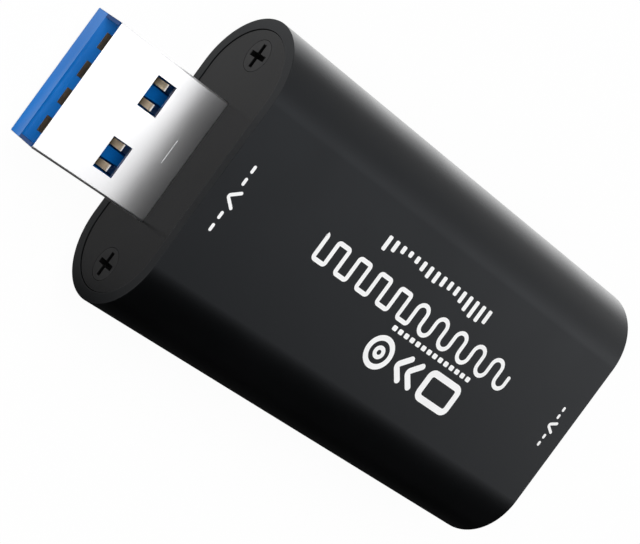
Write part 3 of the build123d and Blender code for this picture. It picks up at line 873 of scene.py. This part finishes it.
def make_plug_shell():
    """The folded shell with its two windows, a stamped line and the seam below."""
    half_width = plug_width / 2
    piece = add_block(
        "plug_folded_shell",
        (shell_low.x, -half_width, shell_low.z),
        (mouth_x, half_width, shell_high.z),
    )
    round_edges(piece, X, plug_bend, segments=6)
    cut(piece, add_plug_bore())
    window_front = mouth_x - window_depth
    window_rear = window_front - window_length
    for side in (-1, 1):
        near, far = sorted((side * window_inner_edge, side * (window_inner_edge + window_width)))
        low = (window_rear, near, shell_low.z - overrun)
        cut_block(piece, low, (window_front, far, shell_high.z + overrun))
    stamp_x = window_rear - stamp_behind_window
    low = (stamp_x - stamp_width / 2, -stamp_length / 2, shell_high.z - stamp_sink)
    cut_block(piece, low, (stamp_x + stamp_width / 2, stamp_length / 2, shell_high.z + overrun))
    low = (shell_low.x - overrun, -seam_width / 2, shell_low.z - overrun)
    cut_block(piece, low, (mouth_x + overrun, seam_width / 2, shell_low.z + seam_sink))
    break_edges(piece, plug_edge_break, angle=50)
    dress(piece, bright_shell, ["plug_shell"])


# Plug tongue
def cut_pad_channel(piece, front_y, rear_y):
    """The shallow bed of one gold pad, which follows the nose's slope, and of its narrow tail."""
    bed = pad_sheet + pad_gap
    tail_half = pad_rear_width / 2 + pad_gap
    pad_half = pad_width / 2 + pad_gap
    front_run = mouth_x - pad_start + pad_gap - nose_rear
    low = (mouth_x - pad_end, rear_y - tail_half, tongue_top - bed)
    cut_block(piece, low, (mouth_x - pad_wide_end + bed, rear_y + tail_half, tongue_top + bed))
    channel = add_block(
        "channel",
        (mouth_x - pad_wide_end - pad_gap, front_y - pad_half, tongue_top - bed),
        (nose_rear, front_y + pad_half, tongue_top + bed),
    )
    pick_end(channel, 1)
    extend((front_run, 0, -nose_slope * front_run))
    close_edit()
    cut(piece, channel)


def cut_spring_slot(piece, middle_y):
    """The tapered slot in which one spring moves."""
    slot_front = mouth_x - spring_free_end + slot_front_gap
    slot = add_block(
        "slot",
        (base_front, middle_y - slot_rear_half, plug_floor + tongue_floor),
        (slot_front, middle_y + slot_rear_half, tongue_top + overrun),
    )
    pick_end(slot, 1)
    narrower = (1, slot_front_half / slot_rear_half, 1)
    bpy.ops.transform.resize(value=narrower, center_override=(slot_front, middle_y, 0))
    close_edit()
    cut(piece, slot)


def make_tongue():
    """The blue moulding: a base, and a shelf whose nose slopes down and flares to fill the mouth."""
    half_width = plug_width / 2 - plug_sheet - tongue_side_gap
    flare_rear = mouth_x - plug_lead + tongue_side_gap
    flare = tongue_high.x - flare_rear
    height = tongue_top - plug_floor
    piece = add_block(
        "plug_tongue_moulding",
        (tongue_low.x, -half_width, plug_floor),
        (flare_rear, half_width, tongue_top),
    )
    pick_end(piece, 1)
    wider = (1, 1 + flare / half_width, 1 + flare / height)
    extend((flare, 0, 0), wider, (tongue_high.x, 0, tongue_top))
    bpy.ops.mesh.select_all(action="SELECT")
    nose_line = (nose_rear, 0, tongue_top)
    bpy.ops.mesh.bisect(
        plane_co=nose_line, plane_no=(nose_slope, 0, 1), use_fill=True, clear_outer=True
    )
    close_edit()
    base = add_block(
        "base", (tongue_low.x, -half_width, plug_floor), (base_front, half_width, tongue_high.z)
    )
    combine(piece, base, "UNION")
    for middle_y in spring_offsets:
        cut_spring_slot(piece, middle_y)
    for front_y, rear_y in zip(pad_offsets, pad_rear_offsets):
        cut_pad_channel(piece, front_y, rear_y)
    break_edges(piece, tongue_edge_break)
    dress(piece, blue_plastic, ["plug_tongue"])


def make_mouth_linings():
    """Two thin blue linings that fill the shell's lead above the nose, one on each side, in the darker
    blue of painted shade.
    """
    outer_y = plug_width / 2 - plug_sheet - tongue_side_gap
    rear_x = mouth_x - plug_lead + tongue_side_gap
    flare = tongue_high.x - rear_x
    linings = []
    for side in (-1, 1):
        inner_y = side * (outer_y - lining_sheet)
        low_y, high_y = sorted((inner_y, side * outer_y))
        lining = add_block(
            "lining",
            (rear_x - lining_sheet, low_y, tongue_top - nose_drop + tongue_side_gap),
            (rear_x, high_y, shell_high.z - plug_sheet - tongue_side_gap),
        )
        pick_end(lining, 1)
        extend((flare, 0, 0), (1, 1 + flare / lining_sheet, 1), (0, inner_y, 0))
        close_edit()
        linings.append(lining)
    piece = join("plug_mouth_linings", linings)
    break_edges(piece, lining_edge_break, segments=1)
    dress(piece, blue_in_painted_shade)


# Sprung contacts
def spring_line():
    """The side view of a spring past its flat: a sharp rise, then a slope down to the tip."""
    low_z = tongue_top - spring_low_sink
    apex_z = tongue_top + spring_apex_rise - spring_sheet / 2
    tip_z = tongue_top - spring_tip_sink
    low_x = mouth_x - spring_low_depth
    apex_x = mouth_x - spring_apex_depth
    tip_x = mouth_x - spring_free_end
    rise_steps = 10
    fall_steps = 20
    for step in range(1, rise_steps + 1):
        share = step / rise_steps
        risen = (1 - math.cos(math.pi * share)) / 2
        yield low_x + share * (apex_x - low_x), low_z + risen * (apex_z - low_z)
    for step in range(1, fall_steps + 1):
        share = step / fall_steps
        yield apex_x + share * (tip_x - apex_x), apex_z + (tip_z - apex_z) * share**spring_fall_curve


def make_spring(middle_y):
    """One sprung contact, drawn as a strip from its hinge and then given its thickness."""
    hinge_x = mouth_x - spring_hinge_depth
    low_x = mouth_x - spring_low_depth
    low_z = tongue_top - spring_low_sink
    deselect()
    bpy.ops.mesh.primitive_plane_add(size=1, location=((hinge_x + low_x) / 2, middle_y, low_z))
    bpy.context.object.scale = (low_x - hinge_x, spring_width, 1)
    piece = settle("contact_spring")
    pick(piece, "EDGE", lambda place, run: place.x > low_x - place_margin)
    points = [(low_x, low_z), *spring_line()]
    narrower = spring_tip_share ** (1 / (len(points) - 1))
    for before, after in zip(points, points[1:]):
        reach = (after[0] - before[0], 0, after[1] - before[1])
        extend(reach, (1, narrower, 1), (after[0], middle_y, after[1]))
    close_edit()
    apply_modifier(piece, "SOLIDIFY", thickness=spring_sheet, offset=0, use_even_offset=True)
    break_edges(piece, spring_edge_break, angle=50)
    return piece


def make_springs():
    first = make_spring(spring_offsets[0])
    others = [
        copy_to(first, f"contact_spring_{index}", (0, middle_y - spring_offsets[0], 0))
        for index, middle_y in enumerate(spring_offsets[1:], 2)
    ]
    name_piece(first, "contact_spring_1")
    for piece in (first, *others):
        dress(piece, spring_gold_with_painted_light, ["plug_contact_springs"], spring_body)


# Pieces whose own shape is right and only wants its edges broken
def refine_node(node_name, name, material, width):
    """A node's shape with its flats cleaned and its sharp edges broken."""
    piece = own_copy(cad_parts[node_name])
    piece.parent = None
    piece.scale = (1 / MM, 1 / MM, 1 / MM)
    settle(name)
    bpy.ops.object.mode_set(mode="EDIT")
    bpy.ops.mesh.select_mode(type="FACE")
    merge_doubles()
    bpy.ops.mesh.dissolve_limited(angle_limit=math.radians(merge_angle))
    close_edit()
    break_edges(piece, width)
    dress(piece, material, [node_name])


def make_pads():
    refine_node("plug_signal_contacts", "plug_pads", pad_gold_in_painted_shade, pad_edge_break)


def make_video_socket():
    edge = socket_edge_break
    refine_node("video_socket_shell", "socket_folded_shell", bright_shell, edge)
    refine_node("video_socket_block", "socket_moulding", black_plastic, edge)
    for row in ("upper", "lower"):
        contacts = f"video_socket_{row}_contacts"
        refine_node(contacts, f"socket_{row}_pins", gold_contact, pin_edge_break)


make_sleeve()
make_plates()
make_screws()
make_plug_shell()
make_tongue()
make_mouth_linings()
make_springs()
make_pads()
make_video_socket()


# Printed marks on the top face, each a thin layer of ink
ink_low = top_z - ink_sink
ink_high = top_z + ink_height
ink_mid = (ink_low + ink_high) / 2
wave_stroke = 0.42
wave_start = Vector((-20.3, -1.5))
wave_half_period = 1.42
wave_height = 2.75
wave_turns = 5
step_turns = 5
emblem_low = Vector((-16.5, 1.85))
emblem_height = 3.3
emblem_stroke = 0.66
screen_width = 4.7
screen_corner = 0.85
chevron_reach = 1.35
chevron_pitch = 1.55
chevron_count = 2
chevron_stroke = 0.594
button_stroke = 0.528
dot_radius = 0.66
dot_stroke = 0.4125
dash_row_start = Vector((-16.4, 0.72))
dash_size = Vector((0.55, 0.5))
dash_pitch = 0.83
dash_count = 14
bar_row_start = Vector((-13.7, -5.3))
bar_width = 0.46
bar_pitch = 0.97
bar_count = 16
bar_low = 0.5
bar_high = 1.75
bar_first_swing = 0.9
bar_second_swing = 0.37
bar_corner_share = 0.3
dash_corner_share = 0.25
output_mark_tip = 17.3
input_mark_tip = -28.2
output_mark_half_span = 0.82
input_mark_half_span = 0.58
end_mark_reach = 1.1
end_mark_stroke = 0.3
end_dash_share = 0.9
end_gap_share = 0.55
end_dash_count = 2
# Shares of a stroke's width
elbow_share = 0.6
stroke_end_round = 0.48
stroke_end_reach = 0.56
pen_reach = 0.125
ring_sides = 56
degrees_a_step = 15
least_steps = 3


def add_ink_block(name, low, high, corner, segments):
    """A patch of ink with rounded corners."""
    piece = add_block(name, (*low, ink_low), (*high, ink_high))
    round_edges(piece, Z, corner, segments)
    return piece


def add_ink_ring(name, centre, radius, wall):
    """A ring of ink."""
    deselect()
    bpy.ops.mesh.primitive_cylinder_add(
        vertices=ring_sides, radius=radius, depth=ink_high - ink_low, location=(*centre, ink_mid)
    )
    piece = settle(name)
    hollow(piece, Z, wall)
    return piece


def draw_stroke(name, start, heading, width, moves):
    """A round-ended stroke of ink from a point and a heading in degrees.

    A move is the length of a straight run, or a turn in degrees, positive to the left, and its radius.
    """
    heading = math.radians(heading)
    ahead = Vector((math.cos(heading), math.sin(heading), 0))
    start = Vector((*start, ink_mid))
    deselect()
    bpy.ops.mesh.primitive_cube_add(
        size=1,
        location=start + ahead * moves[0] / 2,
        rotation=(0, 0, heading),
        scale=(moves[0], width, ink_high - ink_low),
    )
    piece = settle(name)
    pen = start + ahead * moves[0]
    near_pen = width * pen_reach
    for move in moves[1:]:
        pick(
            piece,
            "FACE",
            lambda place, normal: (place - pen).length < near_pen and normal.dot(ahead) > along,
        )
        if isinstance(move, tuple):
            turn, radius = math.radians(move[0]), move[1]
            centre = pen + math.copysign(radius, turn) * Vector((-ahead.y, ahead.x, 0))
            steps = max(least_steps, round(abs(move[0]) / degrees_a_step))
            bpy.ops.mesh.spin(steps=steps, angle=-turn, center=centre, axis=(0, 0, 1))
            turned = Matrix.Rotation(turn, 3, "Z")
            pen = centre + turned @ (pen - centre)
            ahead = turned @ ahead
        else:
            bpy.ops.mesh.extrude_region_move(TRANSFORM_OT_translate={"value": ahead * move})
            pen = pen + ahead * move
        close_edit()
    near_end = width * stroke_end_reach
    ends = (start, pen)
    pick(
        piece,
        "EDGE",
        lambda place, run: abs(run.z) > along and min((place - end).length for end in ends) < near_end,
    )
    bpy.ops.mesh.bevel(
        offset=width * stroke_end_round, segments=5, affect="EDGES", clamp_overlap=False
    )
    merge_doubles()
    bpy.ops.mesh.normals_make_consistent(inside=False)
    close_edit()
    return piece


def draw_chevron(tip, reach, half_span, width):
    """A chevron that points along +X, from its reach along X and half its span along Y."""
    elbow_radius = width * elbow_share
    arm = math.hypot(reach, half_span) - elbow_radius * reach / half_span
    slant = math.degrees(math.atan2(half_span, reach))
    moves = [arm, (2 * slant - 180, elbow_radius), arm]
    return draw_stroke("chevron", (tip[0] - reach, tip[1] + half_span), -slant, width, moves)


def make_wave_mark():
    """A row of round waves that turns into square steps."""
    round_turn = wave_half_period / 2
    leg = wave_height - wave_stroke - 2 * round_turn
    corner = wave_stroke * elbow_share
    flat = wave_half_period - 2 * corner
    wall = wave_height - wave_stroke - 2 * corner
    moves = [leg]
    for _ in range(wave_turns):
        moves += [(-180, round_turn), leg, (180, round_turn), leg]
    moves.pop()
    moves += [leg + round_turn - corner]
    for _ in range(step_turns):
        moves += [(-90, corner), flat, (-90, corner), wall, (90, corner), flat, (90, corner), wall]
    moves = moves[:-3]
    dress(draw_stroke("mark_wave", wave_start, 90, wave_stroke, moves), white_ink)


def make_emblem():
    """A screen, two chevrons and a round button."""
    screen_high = emblem_low + Vector((screen_width, emblem_height))
    screen = add_ink_block("screen", emblem_low, screen_high, screen_corner, segments=5)
    hollow(screen, Z, emblem_stroke)
    middle_y = emblem_low.y + emblem_height / 2
    tip_x = screen_high.x + chevron_pitch + chevron_reach / 2
    tips = [(tip_x + index * chevron_pitch, middle_y) for index in range(chevron_count)]
    arrows = [draw_chevron(tip, chevron_reach, chevron_reach, chevron_stroke) for tip in tips]
    radius = emblem_height / 2
    button_x = tip_x + chevron_count * chevron_pitch - chevron_reach / 2 + radius
    button = add_ink_ring("button", (button_x, middle_y), radius, button_stroke)
    dot = add_ink_ring("dot", (button_x, middle_y), dot_radius, dot_stroke)
    dress(join("mark_emblem", [screen, *arrows, button, dot]), white_ink)


def make_dash_row():
    corner = dash_size.y * dash_corner_share
    first = add_ink_block("dash", dash_row_start, dash_row_start + dash_size, corner, segments=3)
    others = [copy_to(first, "dash", (index * dash_pitch, 0, 0)) for index in range(1, dash_count)]
    dress(join("mark_dash_row", [first, *others]), white_ink)


def make_level_bars():
    """A row of level bars, their heights on two overlaid swings."""
    bars = []
    for index in range(bar_count):
        swing = (math.sin(index * bar_first_swing) + math.sin(index * bar_second_swing + 1)) / 4 + 0.5
        low = bar_row_start + Vector((index * bar_pitch, 0))
        high = low + Vector((bar_width, bar_low + swing * (bar_high - bar_low)))
        bars.append(add_ink_block("bar", low, high, bar_width * bar_corner_share, segments=3))
    dress(join("mark_level_bars", bars), white_ink)


def make_end_mark(name, tip_x, half_span):
    """A chevron that shows the way that the signal runs, between two dashes on each side."""
    row = [draw_chevron((tip_x, 0), end_mark_reach, half_span, end_mark_stroke)]
    dash = half_span * end_dash_share
    gap = half_span * end_gap_share
    start_y = half_span + gap
    for index in range(end_dash_count):
        low_y = start_y + index * (dash + gap)
        for side in (-1, 1):
            start = (tip_x - end_mark_reach / 2, side * low_y)
            row.append(draw_stroke("dash", start, side * 90, end_mark_stroke, [dash]))
    dress(join(name, row), white_ink)


make_wave_mark()
make_emblem()
make_dash_row()
make_level_bars()
make_end_mark("mark_output_arrow", output_mark_tip, output_mark_half_span)
make_end_mark("mark_input_arrow", input_mark_tip, input_mark_half_span)


# Floor, backdrop and light
def add_ramp(tree, source, stops):
    """A strength that runs between stops, each a place on the source's scale and the strength there."""
    low, high = stops[0][0], stops[-1][0]
    peak = max(strength for _, strength in stops)
    place = add_node(tree, "MapRange", {0: source, 1: low, 2: high})
    ramp = add_node(tree, "ValToRGB", {0: place.outputs[0]})
    band = ramp.color_ramp
    band.elements.remove(band.elements[1])
    for index, (where, strength) in enumerate(stops):
        position = (where - low) / (high - low)
        stop = band.elements.new(position) if index else band.elements[0]
        stop.color = (strength / peak, strength / peak, strength / peak, 1)
    return work_out(tree, "MULTIPLY", ramp.outputs[0], peak)


def seen_or_through(tree, rays):
    """One for what the camera sees, straight or through something clear."""
    return work_out(tree, "MAXIMUM", rays.outputs["Is Camera Ray"], rays.outputs["Is Transmission Ray"])


floor_size = 6.0
floor_drop = 0.00002
floor_colour = (0.95, 0.95, 0.95, 1.0)
# Places on the floor, in metres, and the strength that a reflection finds there
floor_side_stops = [
    (-0.4, 0.4),
    (-0.13, 1.0),
    (-0.06, 1.32),
    (-0.03, 2.2),
    (-0.0207, 2.6),
    (-0.0173, 2.05),
    (-0.015, 1.25),
    (-0.0125, 0.9),
    (-0.009, 0.88),
    (0.0, 0.72),
    (0.012, 0.45),
    (0.0155, 0.02),
    (0.04, 0.006),
]
# The share of it that is left beside the plug, but for the strip of floor before the plate
floor_plug_stops = [(0.012, 1.0), (0.021, 0.4)]
floor_plate_stops = [(-0.019, 0.0), (-0.015, 1.0)]
# The least strength in front of the plug's mouth
floor_front_stops = [(0.027, 0.0), (0.034, 1.35)]
# The sideways share of a direction, and the strength of the sky that a reflection finds there
sky_side_stops = [
    (-1.0, 0.4),
    (-0.86, 0.7),
    (-0.72, 1.15),
    (-0.45, 1.2),
    (-0.25, 1.75),
    (-0.1, 2.9),
    (-0.03, 1.9),
    (0.06, 1.0),
    (0.15, 0.38),
    (0.286, 0.05),
    (1.0, 0.02),
]
sky_front_stops = [(0.0, 1.0), (0.5, 0.55)]
fill_strength = 0.42
floor_glow_share = 0.96
key_direction = (0.5, -0.3, 0.82)
key_distance = 0.6
key_size = 0.6
key_radiance = 2.6


def make_floor():
    """A plain pale floor that reads white to the camera and keeps part of the shadow. Reflections see
    it glow by place, a painted reflection: bright on the -Y side and in front of the plug, and dark on
    the +Y side.
    """
    deselect()
    bpy.ops.mesh.primitive_plane_add(size=floor_size, location=(0, 0, -floor_drop))
    floor = name_piece(bpy.context.object, "floor")
    material = bpy.data.materials.new("pale_floor")
    material.use_nodes = True
    material.cycles.emission_sampling = "NONE"
    tree = material.node_tree
    tree.nodes.remove(tree.nodes["Principled BSDF"])
    shown = tree.nodes["Material Output"]
    rays = add_node(tree, "LightPath")
    mirrored = rays.outputs["Is Glossy Ray"]
    place = add_node(tree, "SeparateXYZ", {0: add_node(tree, "TexCoord").outputs["Object"]})
    beside = add_ramp(tree, place.outputs["Y"], floor_side_stops)
    by_plug = add_ramp(tree, place.outputs["X"], floor_plug_stops)
    by_plate = add_ramp(tree, place.outputs["Y"], floor_plate_stops)
    kept = work_out(tree, "MAXIMUM", by_plug, by_plate)
    in_front = add_ramp(tree, place.outputs["X"], floor_front_stops)
    mirror_strength = work_out(tree, "MAXIMUM", work_out(tree, "MULTIPLY", beside, kept), in_front)
    seen = work_out(tree, "MULTIPLY", seen_or_through(tree, rays), floor_glow_share)
    glow_share = work_out(tree, "MAXIMUM", seen, mirrored)
    matt = add_node(tree, "BsdfDiffuse", {"Color": floor_colour})
    glow = add_node(tree, "Emission", {"Strength": mix_values(tree, mirrored, 1.0, mirror_strength)})
    blend = add_node(tree, "MixShader", {0: glow_share, 1: matt.outputs[0], 2: glow.outputs[0]})
    tree.links.new(blend.outputs[0], shown.inputs["Surface"])
    floor.data.materials.append(material)


def make_world():
    """White where it is seen, a soft studio where it is mirrored, and a plain fill elsewhere."""
    world = bpy.data.worlds.new("studio")
    bpy.context.scene.world = world
    world.use_nodes = True
    tree = world.node_tree
    backdrop = tree.nodes["Background"]
    backdrop.inputs["Color"].default_value = (1, 1, 1, 1)
    rays = add_node(tree, "LightPath")
    way = add_node(tree, "SeparateXYZ", {0: add_node(tree, "TexCoord").outputs["Generated"]})
    beside = add_ramp(tree, way.outputs["Y"], sky_side_stops)
    in_front = add_ramp(tree, way.outputs["X"], sky_front_stops)
    mirror_strength = work_out(tree, "MULTIPLY", beside, in_front)
    plain = mix_values(tree, seen_or_through(tree, rays), fill_strength, 1.0)
    strength = mix_values(tree, rays.outputs["Is Glossy Ray"], plain, mirror_strength)
    tree.links.new(strength, backdrop.inputs["Strength"])


def add_softbox():
    """A square lamp that faces the box. Reflections don't show it."""
    lamp = bpy.data.lights.new("key_softbox", "AREA")
    lamp.size = key_size
    lamp.energy = key_radiance * math.pi * key_size**2
    holder = bpy.data.objects.new("key_softbox", lamp)
    bpy.context.scene.collection.objects.link(holder)
    direction = Vector(key_direction).normalized()
    holder.location = direction * key_distance
    holder.rotation_euler = direction.to_track_quat("Z", "Y").to_euler()
    holder.visible_camera = False
    holder.visible_glossy = False


make_floor()
make_world()
add_softbox()

# Camera, solved from the outlines in the photograph
camera_place = Vector((100.146, -2.224, 131.133))
camera_azimuth = 88.203
camera_elevation = 51.385
camera_roll = 127.651
camera_lens = 102.402
camera_sensor = 36.0


def make_camera():
    lens = bpy.data.cameras.new("camera")
    lens.lens = camera_lens
    lens.sensor_width = camera_sensor
    lens.clip_start = 0.005
    lens.clip_end = 20.0
    camera = bpy.data.objects.new("camera", lens)
    bpy.context.scene.collection.objects.link(camera)
    azimuth, elevation, roll = (
        math.radians(angle) for angle in (camera_azimuth, camera_elevation, camera_roll)
    )
    tilt = Matrix.Rotation(azimuth, 4, "Z") @ Matrix.Rotation(math.pi / 2 - elevation, 4, "X")
    camera.matrix_world = Matrix.Translation(camera_place * MM) @ tilt @ Matrix.Rotation(roll, 4, "Z")
    bpy.context.scene.camera = camera


make_camera()
bpy.context.scene.view_settings.view_transform = "Standard"
